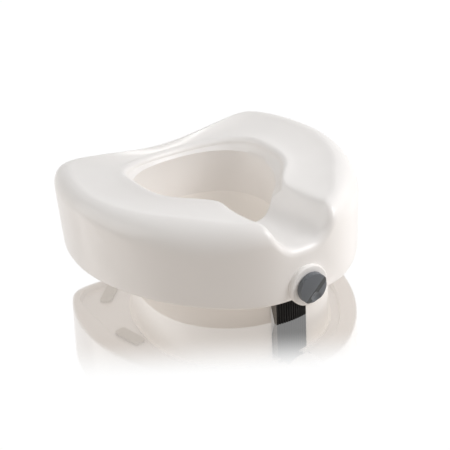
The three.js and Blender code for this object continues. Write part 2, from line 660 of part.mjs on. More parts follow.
function makeSlider() {
  const block = box(
    -SLIDER_HALF_WIDTH, SLIDER_HALF_WIDTH, SLIDER_FRONT_Y, SLIDER_FRONT_Y + SLIDER_LENGTH,
    UNDERSIDE + 0.5, POCKET_TOP - 1,
  );
  const bottomZ = PAD_BOTTOM_Z + 3;
  const front = (z) => padBackY(z) + 2 * GAP + BACKING;
  const stem = sideSlab([
    [front(bottomZ), bottomZ], [front(bottomZ) + STEM_THICKNESS, bottomZ],
    [front(PAD_TOP_Z) + STEM_THICKNESS, PAD_TOP_Z], [front(PAD_TOP_Z) + STEM_THICKNESS, UNDERSIDE + 4],
    [SLIDER_FRONT_Y + 2, UNDERSIDE + 4], [SLIDER_FRONT_Y + 2, PAD_TOP_Z + 4],
    [front(PAD_TOP_Z + 1), PAD_TOP_Z + 1],
  ], STEM_HALF_WIDTH);
  const cuts = [
    rodOnAxis(SPINDLE_RADIUS + 0.5, SLIDER_FRONT_Y - 5, SLIDER_FRONT_Y + SLIDER_LENGTH + 5, 24),
    box(
      -NUT_HALF - GAP, NUT_HALF + GAP, NUT_FRONT_Y - GAP, NUT_FRONT_Y + NUT_LENGTH + GAP,
      AXIS_Z - NUT_HALF - GAP, POCKET_TOP + 5,
    ),
    ...PAD_SCREWS.map(([, z]) => along(PAD_SCREW_RADIUS + GAP, PAD_FACE_Y, PAD_FACE_Y + 60, z)),
  ];
  let solid = toSolid(block).add(toSolid(stem));
  for (const cut of cuts) solid = solid.subtract(toSolid(cut));
  return toGeometry(solid);
}
addPart('clamp_slider', makeSlider(), BLACK_PLASTIC);

const nutBlock = toSolid(box(
  -NUT_HALF, NUT_HALF, NUT_FRONT_Y, NUT_FRONT_Y + NUT_LENGTH, AXIS_Z - NUT_HALF, AXIS_Z + NUT_HALF,
));
const nutBore = toSolid(rodOnAxis(SPINDLE_RADIUS + GAP, NUT_FRONT_Y - 2, NUT_FRONT_Y + NUT_LENGTH + 2, 24));
addPart('clamp_nut', toGeometry(nutBlock.subtract(nutBore)), STEEL);

function makeBacking() {
  const lowZ = PAD_BOTTOM_Z + 2;
  const front = (z) => padBackY(z) + GAP;
  const plate = toSolid(sideSlab([
    [front(lowZ), lowZ], [front(lowZ) + BACKING, lowZ],
    [front(PAD_TOP_Z) + BACKING, PAD_TOP_Z], [front(PAD_TOP_Z), PAD_TOP_Z],
  ], PAD_HALF_WIDTH - 2));
  const holes = PAD_SCREWS.map(([, z]) => toSolid(
    along(PAD_SCREW_RADIUS + GAP, PAD_FACE_Y, PAD_FACE_Y + 60, z),
  ));
  return toGeometry(holes.reduce((solid, hole) => solid.subtract(hole), plate));
}
addPart('pad_backing_plate', makeBacking(), STEEL);

// comb outline in plan: ribs and grooves along a gently bowed face
function combOutline() {
  const outline = [];
  const pitch = (2 * PAD_HALF_WIDTH) / PAD_RIBS;
  const faceY = (x) => PAD_FACE_Y - PAD_BOW * (1 - (x / PAD_HALF_WIDTH) ** 2);
  for (let i = 0; i < PAD_RIBS; i += 1) {
    const x0 = -PAD_HALF_WIDTH + i * pitch;
    for (const [share, depth] of [[0.04, RIB_DEPTH], [0.2, 0], [0.72, 0], [0.88, RIB_DEPTH]]) {
      const x = x0 + share * pitch;
      outline.push([x, faceY(x) + depth]);
    }
  }
  outline[0] = [-PAD_HALF_WIDTH, faceY(-PAD_HALF_WIDTH)];
  outline[outline.length - 1] = [PAD_HALF_WIDTH, faceY(PAD_HALF_WIDTH)];
  outline.push([PAD_HALF_WIDTH, PAD_FACE_Y + 30], [-PAD_HALF_WIDTH, PAD_FACE_Y + 30]);
  return outline;
}

function makePad() {
  const comb = toSolid(slab(combOutline(), PAD_BOTTOM_Z, PAD_TOP_Z));
  const wedge = toSolid(sideSlab([
    [PAD_FACE_Y - 20, PAD_BOTTOM_Z - 1], [padBackY(PAD_BOTTOM_Z - 1), PAD_BOTTOM_Z - 1],
    [padBackY(PAD_TOP_Z + 1), PAD_TOP_Z + 1], [PAD_FACE_Y - 20, PAD_TOP_Z + 1],
  ], PAD_HALF_WIDTH + 5));
  const holes = PAD_SCREWS.map(([, z]) => toSolid(
    along(PAD_SCREW_RADIUS + GAP, PAD_FACE_Y + 2.5, PAD_FACE_Y + 40, z),
  ));
  return toGeometry(holes.reduce((solid, hole) => solid.subtract(hole), comb.intersect(wedge)));
}
addPart('clamp_pad', makePad(), BLACK_RUBBER);

for (const [name, z] of PAD_SCREWS) {
  const headZ = z + PAD_SCREW_HEAD_RADIUS;
  const stemBack = padBackY(headZ) + 2 * GAP + BACKING + STEM_THICKNESS + 0.5;
  const geometry = new THREE.LatheGeometry([
    [0, PAD_FACE_Y + 3], [PAD_SCREW_RADIUS, PAD_FACE_Y + 4], [PAD_SCREW_RADIUS, stemBack],
    [PAD_SCREW_HEAD_RADIUS, stemBack], [PAD_SCREW_HEAD_RADIUS, stemBack + 1], [2.6, stemBack + 2.2],
    [0, stemBack + 2.2],
  ].map(([r, y]) => new THREE.Vector2(r, y)), 16);
  geometry.translate(0, 0, z);
  addPart(`pad_screw_${name}`, geometry, STEEL);
}

export default seat;
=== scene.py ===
"""Looks of the raised toilet seat: shapes in millimetres in the body's own frame, placed in metres.

The body's frame has z = 0 at the seat body's lower edge and y = 0 at its middle.
"""
import json
import math

import bmesh
import bpy
from mathutils import Matrix, Vector


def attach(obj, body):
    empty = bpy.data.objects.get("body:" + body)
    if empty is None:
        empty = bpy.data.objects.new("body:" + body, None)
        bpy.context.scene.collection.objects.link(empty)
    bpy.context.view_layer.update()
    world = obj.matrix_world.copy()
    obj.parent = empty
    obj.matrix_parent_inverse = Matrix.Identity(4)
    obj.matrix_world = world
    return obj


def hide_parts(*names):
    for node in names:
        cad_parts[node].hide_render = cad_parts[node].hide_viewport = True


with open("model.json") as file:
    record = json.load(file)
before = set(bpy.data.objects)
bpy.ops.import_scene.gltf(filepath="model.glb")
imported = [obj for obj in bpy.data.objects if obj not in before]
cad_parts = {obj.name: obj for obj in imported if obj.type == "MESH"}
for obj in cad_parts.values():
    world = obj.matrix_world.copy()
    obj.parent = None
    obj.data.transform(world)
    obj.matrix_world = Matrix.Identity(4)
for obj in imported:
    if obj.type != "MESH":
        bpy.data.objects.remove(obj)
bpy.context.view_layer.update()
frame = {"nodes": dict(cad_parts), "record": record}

# ---------- place of the body's frame in the object's frame ----------
SHIFT_Y = 61.2
SHIFT_Z = 54.0

# ---------- seat body ----------
HALF_WIDTH, FRONT, BACK = 205.0, 253.0, 137.0
NOSE_FLATTEN, NOSE_WIDTH = 10.0, 48.0
BACK_SEMI_AXIS, CORNER_POWER, FRONT_POWER = 234.0, 24.0, 1.82
CREST_HEIGHT, FRONT_RISE = 111.0, 2.0
BACK_DIP, BACK_DIP_WIDTH = 15.5, 115.0
DISH_DEPTH, INNER_DROP = 4.0, 5.5
DRAFT, CORNER_DRAFT = 2.0, 3.5
CORNER_X, QUARTER_X = 165, 125  # middles of the back corners and of the front quarters
SHOULDER, SHOULDER_EXTRA, LIP_RADIUS = 24.0, 14.0, 11.5
FOOT_RADIUS = 5.0
BORDER, BORDER_BACK, UNDERSIDE = 27.0, 12.0, 8.0
EDGE = dict(half=99.0, centre=9.0, front=134.0, back=86.0, front_power=1.75, back_power=2.3)
EDGE_HEIGHT = 84.0
CREST_HALF, CREST_CENTRE, CREST_BACK = 104.0, 20.0, 85.0
CREST_FRONT, CREST_FRONT_HALF, CREST_TAPER = -134.0, 45.0, 1.9
ROLL, INNER_FLARE = 9.0, 0.12
SCOOP_HALF, SCOOP_POWER, SCOOP_FRONT_Z, SCOOP_BACK_Z = 47.6, 3.2, 73.0, 62.5
TURNED_STATIONS = 90
EDGE_LAG = 1.43

# ---------- splash guard ----------
SKIRT = dict(half=135.4, centre=-62.0, front=136.5, back=180.0, front_power=2.06, back_power=2.2)
SKIRT_WALL, SKIRT_BOTTOM = 3.5, -54.0
FLANGE_LEDGE, FLANGE_LOW, FLANGE_TOP = 4.0, 4.7, 7.7
FUNNEL = dict(half=114.0, centre=-62.0, front=105.0, back=166.0, front_power=2.06, back_power=2.2)
FUNNEL_WALL, FUNNEL_POWER = 2.2, 1.6

# ---------- clamp ----------
AXIS_Z = 18.8
BOSS_RADIUS, BOSS_FACE = 28.5, -250.0
KNOB_RADIUS, KNOB_FRONT, KNOB_BACK = 21.0, -261.4, -250.9
RIDGE_ANGLE = math.radians(44)
# cross-sections of the faces beside the ridge, as (distance from it, depth) on each side
KNOB_FACES = ((-1, ((26.0, 2.4),)), (1, ((11.5, 4.0), (26.0, 3.4))))
DISH_RADIUS, DISH_PLACE, DISH_FLOOR = 15.0, (14.0, -7.0), 5.6
# The sloping face that these two numbers pick out gets painted shade.
SHADED_GRIP_REACH, SHADED_GRIP_SLANT = 11.8, 0.33  # width of the sloping face and the lean of its normal
POCKET_HALF, POCKET_TOP, POCKET_FRONT, POCKET_BACK = 21.0, 30.0, -226.0, -147.0
PAD_HALF, PAD_FACE, PAD_TOP, PAD_BOTTOM = 24.0, -207.0, -2.0, -54.0
PAD_RIBS, RIB_DEPTH, PAD_BOW = 13, 1.6, 2.5
PAD_TOP_DEPTH, PAD_BOTTOM_DEPTH = 22.0, 6.0


def place(x, y, z):
    return Vector((x / 1000, (y + SHIFT_Y) / 1000, (z + SHIFT_Z) / 1000))


def smooth(t):
    u = min(1.0, max(0.0, t))
    return u * u * (3 - 2 * u)


def mix(a, b, t):
    return a + (b - a) * t


# ---------- plan curves: negative inside, positive outside ----------
def oval_level(curve, grow=0.0):
    def level(x, y):
        ahead = y < curve["centre"]
        reach = (curve["front"] if ahead else curve["back"]) + grow
        power = curve["front_power"] if ahead else curve["back_power"]
        across = (abs(x) / (curve["half"] + grow)) ** power
        return across + (abs(y - curve["centre"]) / reach) ** power - 1
    return level


edge_level = oval_level(EDGE)


def crest_level(x, y):
    if y >= CREST_CENTRE:
        return (abs(x) / CREST_HALF) ** 2.3 + ((y - CREST_CENTRE) / CREST_BACK) ** 2.3 - 1
    along = min(1.0, (CREST_CENTRE - y) / (CREST_CENTRE - CREST_FRONT))
    narrow = (1 - math.cos(math.pi * along ** CREST_TAPER)) / 2
    half = mix(CREST_HALF, CREST_FRONT_HALF, narrow)
    return max(abs(x) / half - 1, (CREST_FRONT - y) / 100)


def front_reach(x):
    return FRONT - NOSE_FLATTEN * math.exp(-((x / NOSE_WIDTH) ** 2))


def outline_level(x, y):
    across = abs(x) / HALF_WIDTH
    if y < 0:
        return across ** FRONT_POWER + (-y / front_reach(x)) ** FRONT_POWER - 1
    side = math.hypot(across, y / BACK_SEMI_AXIS)
    return side ** CORNER_POWER + (y / BACK) ** CORNER_POWER - 1


def front_edge_y(x):
    return -front_reach(x) * (1 - (abs(x) / HALF_WIDTH) ** FRONT_POWER) ** (1 / FRONT_POWER)


def distance_to(level, x, y, dx, dy, limit):
    low, high = 0.0, limit
    starts_outside = level(x, y) > 0
    for _ in range(34):
        middle = (low + high) / 2
        if (level(x + dx * middle, y + dy * middle) > 0) == starts_outside:
            low = middle
        else:
            high = middle
    return low


def point_at(level, centre, heading):
    out = distance_to(level, 0, centre, math.sin(heading), -math.cos(heading), 400)
    return out * math.sin(heading), centre - out * math.cos(heading)


def outline_of(level, centre, steps):
    return [point_at(level, centre, 2 * math.pi * i / steps) for i in range(steps)]


# ---------- stations round the seat: outline point, way inwards, distance to the opening ----------
def station_between(start, end):
    away = math.dist(start, end)
    return start[0], start[1], (end[0] - start[0]) / away, (end[1] - start[1]) / away, away


def half_stations():
    xs = [2.4 * i for i in range(15)] + [36 + 1.35 * i for i in range(28)]
    stations = []
    for x in xs:
        y = front_edge_y(x)
        away = distance_to(edge_level, x, y, 0, 1, EDGE["centre"] - y)
        stations.append((x, y, 0.0, 1.0, away))
    x, y, _, _, away = stations[-1]
    outer_start = math.atan2(x, -y)
    edge_start = math.atan2(x, EDGE["centre"] - y - away)
    for i in range(1, TURNED_STATIONS + 1):
        share = i / TURNED_STATIONS
        outer = point_at(outline_level, 0, mix(outer_start, math.pi, share))
        edge = point_at(edge_level, EDGE["centre"], mix(edge_start, math.pi, share ** EDGE_LAG))
        stations.append(station_between(outer, edge))
    return stations


def all_stations():
    half = half_stations()
    return half + [(-x, y, -dx, dy, away) for x, y, dx, dy, away in half[1:-1][::-1]]


# ---------- heights of the top ----------
def beside_scoop(x):
    wall = (abs(x) / SCOOP_HALF) ** SCOOP_POWER
    return wall / (1 + wall ** 6) ** (1 / 6)


def crest_height(x, y):
    dip = BACK_DIP * math.exp(-((x / BACK_DIP_WIDTH) ** 2)) * smooth((y - 20) / 110)
    return CREST_HEIGHT + FRONT_RISE * smooth((-y - 60) / 150) - dip


def arc(points, put, steps):
    """Calls put for points of a quarter turn given as a function of the angle."""
    for i in range(1, steps + 1):
        put(*points(math.pi / 2 * i / steps))


def section(station):
    """One cross-section of the body, from the inner wall's foot round the outside and back."""
    x, y, dx, dy, away = station
    beside = beside_scoop(x) if y < 0 else 1.0
    at_corner = math.exp(-(((abs(x) - CORNER_X) / 50) ** 2)) * smooth((y - 20) / 80)
    at_quarter = math.exp(-(((abs(x) - QUARTER_X) / 55) ** 2)) * smooth(-y / 80)
    draft = DRAFT + CORNER_DRAFT * at_corner
    shoulder = mix(LIP_RADIUS, SHOULDER + SHOULDER_EXTRA * at_quarter, beside)
    rim_z = mix(SCOOP_FRONT_Z, crest_height(x, y), beside)
    inner_z = mix(SCOOP_BACK_Z, crest_height(x * 0.6, y * 0.8 + 10) - INNER_DROP, beside)
    to_crest = min(away - 3, distance_to(crest_level, x, y, dx, dy, away))
    climb = min(1.0, max(0.0, (inner_z - EDGE_HEIGHT) / (CREST_HEIGHT - INNER_DROP - EDGE_HEIGHT)))
    to_inner = mix(away - 1.5, to_crest, climb)
    edge_z = min(EDGE_HEIGHT, inner_z - 3)
    border = mix(BORDER, BORDER_BACK, smooth((y - 40) / 80))
    roll = mix(3, ROLL, beside)
    points = []

    def put(u, z):
        points.append(place(x + dx * u, y + dy * u, z))

    def wall_u(z):
        return -draft * (z / CREST_HEIGHT)

    def inner_u(z):
        return away - INNER_FLARE * (edge_z - z)

    put(inner_u(UNDERSIDE + 0.2), UNDERSIDE + 0.2)
    put(inner_u(UNDERSIDE) - 0.2, UNDERSIDE)
    for share in (0.3, 0.6, 0.9):
        put(mix(inner_u(UNDERSIDE) - 0.2, border + 3, share), UNDERSIDE)
    put(border + 2.4, UNDERSIDE - 0.4)
    put(border + 1.6, UNDERSIDE - 1.5)
    put(border + 0.3, 1.2)
    put(border - 0.9, 0)
    put((border + FOOT_RADIUS) / 2, 0)
    put(FOOT_RADIUS, 0)
    arc(lambda a: (FOOT_RADIUS - (FOOT_RADIUS - wall_u(FOOT_RADIUS)) * math.sin(a),
                   FOOT_RADIUS * (1 - math.cos(a))), put, 5)
    arc_z = rim_z - shoulder
    for i in range(1, 6):
        z = mix(FOOT_RADIUS, arc_z, i / 6)
        put(wall_u(z), z)
    arc_u = wall_u(arc_z)
    put(arc_u, arc_z)
    arc(lambda a: (arc_u + shoulder * (1 - math.cos(a)), arc_z + shoulder * math.sin(a)), put, 12)
    top_end = to_inner - roll
    for i in range(1, 15):
        share = i / 14
        dish = DISH_DEPTH * beside * (1 - (1 - share) ** 4 - share ** 6)
        put(mix(arc_u + shoulder, top_end, share), mix(rim_z, inner_z, share) - dish)
    arc(lambda a: (top_end + roll * math.sin(a), inner_z - roll * 0.9 * (1 - math.cos(a))), put, 8)
    sharp_z = edge_z - roll * 0.9 * (1 - climb)
    start = (top_end + roll, inner_z - roll * 0.9)
    for share in (0.35, 0.7):
        put(mix(start[0], away, share), mix(start[1], sharp_z, share))
    put(away, sharp_z)
    for share in (0.12, 0.4, 0.7):
        z = mix(sharp_z, UNDERSIDE + 0.2, share)
        put(inner_u(z), z)
    return points


# ---------- mesh helpers ----------
def object_from(name, points, faces):
    mesh = bpy.data.meshes.new(name)
    mesh.from_pydata([tuple(p) for p in points], [], faces)
    mesh.validate()
    piece = bpy.data.objects.new(name, mesh)
    bpy.context.scene.collection.objects.link(piece)
    outward(piece)
    return piece


def outward(piece):
    shape = bmesh.new()
    shape.from_mesh(piece.data)
    bmesh.ops.recalc_face_normals(shape, faces=shape.faces)
    shape.to_mesh(piece.data)
    shape.free()


def ring_loft(name, rings):
    """A closed ring of closed cross-sections."""
    count, size = len(rings), len(rings[0])
    faces = []
    for i in range(count):
        for j in range(size):
            k, m = (i + 1) % count, (j + 1) % size
            faces.append((i * size + j, k * size + j, k * size + m, i * size + m))
    return object_from(name, [p for ring in rings for p in ring], faces)


def stack(name, levels):
    """Closed outlines one above another, capped at both ends."""
    size = len(levels[0])
    faces = [tuple(range(size))[::-1], tuple(range((len(levels) - 1) * size, len(levels) * size))]
    for i in range(len(levels) - 1):
        for j in range(size):
            m = (j + 1) % size
            faces.append((i * size + j, i * size + m, (i + 1) * size + m, (i + 1) * size + j))
    return object_from(name, [p for level in levels for p in level], faces)


def prism(name, outline, low, high):
    """An outline in plan between two heights."""
    return stack(name, [[place(x, y, z) for x, y in outline] for z in (low, high)])


def block(name, x0, x1, y0, y1, z0, z1):
    return prism(name, [(x0, y0), (x1, y0), (x1, y1), (x0, y1)], z0, z1)


def turned(name, profile, steps=128):
    """A piece turned on the clamp's axis from [radius, y] points, open profiles ending on the axis."""
    rings = []
    for radius, y in profile:
        rings.append([place(radius * math.cos(a), y, AXIS_Z + radius * math.sin(a))
                      for a in (2 * math.pi * i / steps for i in range(steps))])
    return stack(name, rings)


def apply_modifier(piece, modifier):
    bpy.context.view_layer.objects.active = piece
    bpy.ops.object.modifier_apply(modifier=modifier.name)


def combine(piece, tool, operation):
    modifier = piece.modifiers.new("combine", "BOOLEAN")
    modifier.operation = operation
    modifier.solver = "EXACT"
    modifier.object = tool
    apply_modifier(piece, modifier)
    bpy.data.objects.remove(tool)


def soften(piece, width, segments=2, angle=32):
    """Rounds the sharp edges a little."""
    modifier = piece.modifiers.new("soften", "BEVEL")
    modifier.width = width / 1000
    modifier.segments = segments
    modifier.limit_method = "ANGLE"
    modifier.angle_limit = math.radians(angle)
    modifier.miter_outer = "MITER_ARC"
    modifier.use_clamp_overlap = True
    apply_modifier(piece, modifier)


def shade(piece, angle=32):
    for face in piece.data.polygons:
        face.use_smooth = True
    piece.data.set_sharp_from_angle(angle=math.radians(angle))


def finish_piece(piece, material, slot, body, *nodes):
    """Give a piece its material and its body, and hide the CAD nodes that it replaces. The slot is not
    used.
    """
    piece.data.materials.clear()
    piece.data.materials.append(material)
    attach(piece, body)
    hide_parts(*nodes)


# ---------- materials ----------
def new_material(name):
    material = bpy.data.materials.new(name)
    material.use_nodes = True
    nodes = material.node_tree.nodes
    return material, nodes, material.node_tree.links, nodes["Principled BSDF"]


def noise(nodes, links, coordinates, scale, detail=3.0):
    texture = nodes.new("ShaderNodeTexNoise")
    texture.inputs["Scale"].default_value = scale
    texture.inputs["Detail"].default_value = detail
    links.new(coordinates, texture.inputs["Vector"])
    return texture.outputs["Fac"]


def ramp(nodes, links, factor, low, high, start=0.3, end=0.7):
    node = nodes.new("ShaderNodeValToRGB")
    node.color_ramp.elements[0].position = start
    node.color_ramp.elements[1].position = end
    node.color_ramp.elements[0].color = (*low, 1)
    node.color_ramp.elements[1].color = (*high, 1)
    links.new(factor, node.inputs["Fac"])
    return node.outputs["Color"]


def span(nodes, links, factor, low, high):
    node = nodes.new("ShaderNodeMapRange")
    node.inputs["From Min"].default_value = 0.3
    node.inputs["From Max"].default_value = 0.7
    node.inputs["To Min"].default_value = low
    node.inputs["To Max"].default_value = high
    links.new(factor, node.inputs["Value"])
    return node.outputs["Result"]


def bump(nodes, links, height, shader, strength, distance):
    node = nodes.new("ShaderNodeBump")
    node.inputs["Strength"].default_value = strength
    node.inputs["Distance"].default_value = distance
    links.new(height, node.inputs["Height"])
    links.new(node.outputs["Normal"], shader.inputs["Normal"])


def plastic(name, colour, tint, roughness, grain=900.0, grain_height=0.00003, coat=0.0, gloss=0.5,
            painted_glow=0.0):
    """Moulded plastic: faint drifts of colour and gloss, and a fine moulded grain.

    A glow above zero is painted light: a faint even emission that lifts the shade on every face.
    """
    material, nodes, links, shader = new_material(name)
    where = nodes.new("ShaderNodeTexCoord").outputs["Object"]
    drift = noise(nodes, links, where, 9.0)
    links.new(ramp(nodes, links, drift, colour, tint), shader.inputs["Base Color"])
    links.new(span(nodes, links, noise(nodes, links, where, 40.0), roughness - 0.03, roughness + 0.04),
              shader.inputs["Roughness"])
    bump(nodes, links, noise(nodes, links, where, grain, 2.0), shader, 0.12, grain_height)
    shader.inputs["IOR"].default_value = 1.5
    shader.inputs["Coat Weight"].default_value = coat
    # Painted light: the emission brightens the shaded faces of this plastic.
    shader.inputs["Emission Color"].default_value = (1.0, 0.95, 0.9, 1)
    shader.inputs["Emission Strength"].default_value = painted_glow
    shader.inputs["Coat Roughness"].default_value = 0.12
    shader.inputs["Specular IOR Level"].default_value = gloss
    return material


def rubber(name, colour, tint, roughness, gloss):
    """Rubber: uneven colour and gloss and a fine rough grain."""
    material, nodes, links, shader = new_material(name)
    where = nodes.new("ShaderNodeTexCoord").outputs["Object"]
    links.new(ramp(nodes, links, noise(nodes, links, where, 60.0), colour, tint),
              shader.inputs["Base Color"])
    links.new(span(nodes, links, noise(nodes, links, where, 300.0), roughness, roughness + 0.12),
              shader.inputs["Roughness"])
    bump(nodes, links, noise(nodes, links, where, 1400.0, 4.0), shader, 0.3, 0.00006)
    shader.inputs["Specular IOR Level"].default_value = gloss
    return material


def steel(name):
    """Zinc plated steel with fine turning marks along the clamp's axis."""
    material, nodes, links, shader = new_material(name)
    where = nodes.new("ShaderNodeTexCoord").outputs["Object"]
    stretch = nodes.new("ShaderNodeMapping")
    stretch.inputs["Scale"].default_value = (60.0, 3000.0, 60.0)
    links.new(where, stretch.inputs["Vector"])
    marks = noise(nodes, links, stretch.outputs["Vector"], 1.0, 4.0)
    links.new(ramp(nodes, links, noise(nodes, links, where, 80.0), (0.5, 0.51, 0.53), (0.62, 0.62, 0.6)),
              shader.inputs["Base Color"])
    links.new(span(nodes, links, marks, 0.3, 0.42), shader.inputs["Roughness"])
    bump(nodes, links, marks, shader, 0.2, 0.00005)
    shader.inputs["Metallic"].default_value = 1.0
    return material


# ---------- pieces ----------
def make_seat_body():
    """The seat moulding with its boss, the slider's pocket and the spindle's bore."""
    piece = ring_loft("seat_moulding", [section(s) for s in all_stations()])
    boss = turned("boss", [
        (BOSS_RADIUS - 2.2, BOSS_FACE), (BOSS_RADIUS - 1.0, BOSS_FACE + 0.25),
        (BOSS_RADIUS - 0.25, BOSS_FACE + 1.0), (BOSS_RADIUS, BOSS_FACE + 2.2),
        (BOSS_RADIUS + 0.1, BOSS_FACE + 6), (BOSS_RADIUS + 0.3, POCKET_FRONT - 3),
    ])
    combine(piece, boss, "UNION")
    combine(piece, block("pocket", -POCKET_HALF, POCKET_HALF, POCKET_FRONT, POCKET_BACK,
                         -20, POCKET_TOP), "DIFFERENCE")
    combine(piece, turned("bore", [(8.3, -300), (8.3, POCKET_FRONT + 4)], 64), "DIFFERENCE")
    combine(piece, turned("recess", [(13.0, -300), (13.0, BOSS_FACE + 3.4)], 64), "DIFFERENCE")
    shade(piece, 35)
    return piece


def make_funnel(mouth_grow, steps=240, rows=16):
    """The guard's inner wall, from the opening down, inside the skirt."""
    top = outline_of(oval_level(EDGE, mouth_grow - 1), EDGE["centre"], steps)
    bottom = outline_of(oval_level(FUNNEL), FUNNEL["centre"], steps)
    rings = []
    for i in range(steps):
        heading = 2 * math.pi * i / steps
        ring = []
        for out, order in ((0, range(rows + 1)), (FUNNEL_WALL, range(rows, -1, -1))):
            for j in order:
                flare = (j / rows) ** FUNNEL_POWER
                ring.append(place(mix(top[i][0], bottom[i][0], flare) + out * math.sin(heading),
                                  mix(top[i][1], bottom[i][1], flare) - out * math.cos(heading),
                                  mix(UNDERSIDE - 0.02, SKIRT_BOTTOM, j / rows)))
        rings.append(ring)
    return ring_loft("funnel", rings)


def make_guard():
    """Flange, funnel and skirt, with a niche for the clamp in the front."""
    def at(grow):
        return outline_of(oval_level(SKIRT, grow), SKIRT["centre"], 240)
    mouth_grow = INNER_FLARE * (EDGE_HEIGHT - UNDERSIDE) + 1
    mouth = outline_of(oval_level(EDGE, mouth_grow), EDGE["centre"], 200)
    piece = prism("splash_guard_moulding", at(FLANGE_LEDGE), FLANGE_LOW, FLANGE_TOP)
    combine(piece, prism("mouth", mouth, FLANGE_LOW - 2, FLANGE_TOP + 2), "DIFFERENCE")
    skirt = prism("skirt", at(0), SKIRT_BOTTOM, FLANGE_LOW + 1)
    combine(skirt, prism("inside", at(-SKIRT_WALL), SKIRT_BOTTOM - 2, FLANGE_LOW + 3), "DIFFERENCE")
    combine(piece, skirt, "UNION")
    combine(piece, make_funnel(mouth_grow), "UNION")
    gap = PAD_HALF + 1.5
    combine(piece, block("niche", -gap - FUNNEL_WALL, gap + FUNNEL_WALL, -194, POCKET_BACK + FUNNEL_WALL,
                         SKIRT_BOTTOM, FLANGE_LOW + 1), "UNION")
    combine(piece, block("stem_slot", -16, 16, -240, POCKET_BACK, FLANGE_LOW - 20, FLANGE_TOP + 1),
            "DIFFERENCE")
    combine(piece, block("pad_gap", -gap, gap, -240, POCKET_BACK, SKIRT_BOTTOM - 5, FLANGE_LOW),
            "DIFFERENCE")
    soften(piece, 0.6)
    shade(piece, 40)
    return piece


def make_knob():
    """A disc with a diagonal finger ridge: nearly flat on one side, sloping to a dish on the other."""
    piece = turned("knob_moulding", [
        (KNOB_RADIUS - 1.2, KNOB_FRONT), (KNOB_RADIUS - 0.4, KNOB_FRONT + 0.25),
        (KNOB_RADIUS - 0.05, KNOB_FRONT + 1.1), (KNOB_RADIUS, KNOB_FRONT + 3),
        (KNOB_RADIUS, KNOB_BACK - 1), (KNOB_RADIUS - 1, KNOB_BACK),
    ], 160)
    home = (Matrix.Translation(place(0, KNOB_FRONT, AXIS_Z))
            @ Matrix.Rotation(math.pi / 2 - RIDGE_ANGLE, 4, "Y"))
    cuts = []
    for side, face in KNOB_FACES:
        wedge = [(0.3 * side, -5), (0.3 * side, -0.1)] + [(side * x, y) for x, y in face]
        wedge.append((wedge[-1][0], -5))
        cuts.append(stack("face", [[Vector((x, y, z)) / 1000 for x, y in wedge] for z in (-40, 40)]))
    bpy.ops.mesh.primitive_uv_sphere_add(
        segments=96, ring_count=64, radius=DISH_RADIUS / 1000,
        location=Vector((DISH_PLACE[0], DISH_FLOOR - DISH_RADIUS, DISH_PLACE[1])) / 1000)
    cuts.append(bpy.context.object)
    for cut in cuts:
        cut.data.transform(home @ cut.matrix_basis)
        cut.matrix_basis = Matrix.Identity(4)
        outward(cut)
        combine(piece, cut, "DIFFERENCE")
    hexagon = turned("socket", [(6.8, KNOB_FRONT + 5), (6.8, KNOB_BACK + 1)], 6)
    combine(piece, hexagon, "DIFFERENCE")
    soften(piece, 0.35, 3, 20)
    shade(piece, 30)
    return piece


def mark_grip_painted_shade(knob):
    """Give the sloping, textured face beside the ridge the knob's second material, whose dark colour is
    painted shade from the ridge.
    """
    across = Vector((math.sin(RIDGE_ANGLE), 0, -math.cos(RIDGE_ANGLE)))
    axis = place(0, KNOB_FRONT, AXIS_Z)
    for face in knob.data.polygons:
        distance = (face.center - axis).dot(across) * 1000
        slant = face.normal.dot(across)
        if 0.2 < distance < SHADED_GRIP_REACH and abs(slant - SHADED_GRIP_SLANT) < 0.04:
            face.material_index = 1


def pad_back(z):
    share = (z - PAD_BOTTOM) / (PAD_TOP - PAD_BOTTOM)
    return PAD_FACE + mix(PAD_BOTTOM_DEPTH, PAD_TOP_DEPTH, share)


def rib_face():
    """Plan outline of the ribbed face, on a gentle bow."""
    pitch = 2 * PAD_HALF / PAD_RIBS
    face = []
    for i in range(PAD_RIBS):
        for share, depth in ((0.0, 1.0), (0.07, 0.9), (0.14, 0.3), (0.2, 0.06), (0.28, 0.0), (0.5, 0.0),
                             (0.66, 0.0), (0.73, 0.06), (0.8, 0.3), (0.88, 0.9), (0.94, 1.0)):
            x = -PAD_HALF + (i + share) * pitch
            if i == 0 and share < 0.2:
                depth = 0.0
            face.append((x, PAD_FACE - PAD_BOW * (1 - (x / PAD_HALF) ** 2) + RIB_DEPTH * depth))
    face.append((PAD_HALF, PAD_FACE))
    return face


def make_pad():
    """The ribbed rubber pad: upright ribs, smooth sides and a sloping back."""
    levels = []
    face = rib_face()
    heights = ((PAD_BOTTOM, 0.7), (PAD_BOTTOM + 0.3, 0.2), (PAD_BOTTOM + 1, 0.0),
               (PAD_TOP - 1, 0.0), (PAD_TOP - 0.3, 0.2), (PAD_TOP, 0.7))
    for z, inset in heights:
        shrink = 1 - inset / PAD_HALF
        level = [(x * shrink, y + inset) for x, y in face]
        back = pad_back(z) - inset * 0.5
        level += [(PAD_HALF * shrink, mix(PAD_FACE, back, 0.5)), (PAD_HALF * shrink, back - 0.6),
                  (PAD_HALF * shrink - 0.6, back), (-PAD_HALF * shrink + 0.6, back),
                  (-PAD_HALF * shrink, back - 0.6), (-PAD_HALF * shrink, mix(PAD_FACE, back, 0.5))]
        levels.append([place(x, y, z) for x, y in level])
    piece = stack("clamp_pad_ribbed", levels)
    shade(piece, 40)
    return piece


# ---------- camera ----------
CAMERA_TURN = [math.radians(angle) for angle in (-31.251, 27.05, 3.163)]  # azimuth, elevation, roll
CAMERA_TARGET, CAMERA_DISTANCE = (20, -5, 20), 1600.0
CAMERA_SHIFT = (-6.198, 16.566)
CAMERA_LENS = 87.408


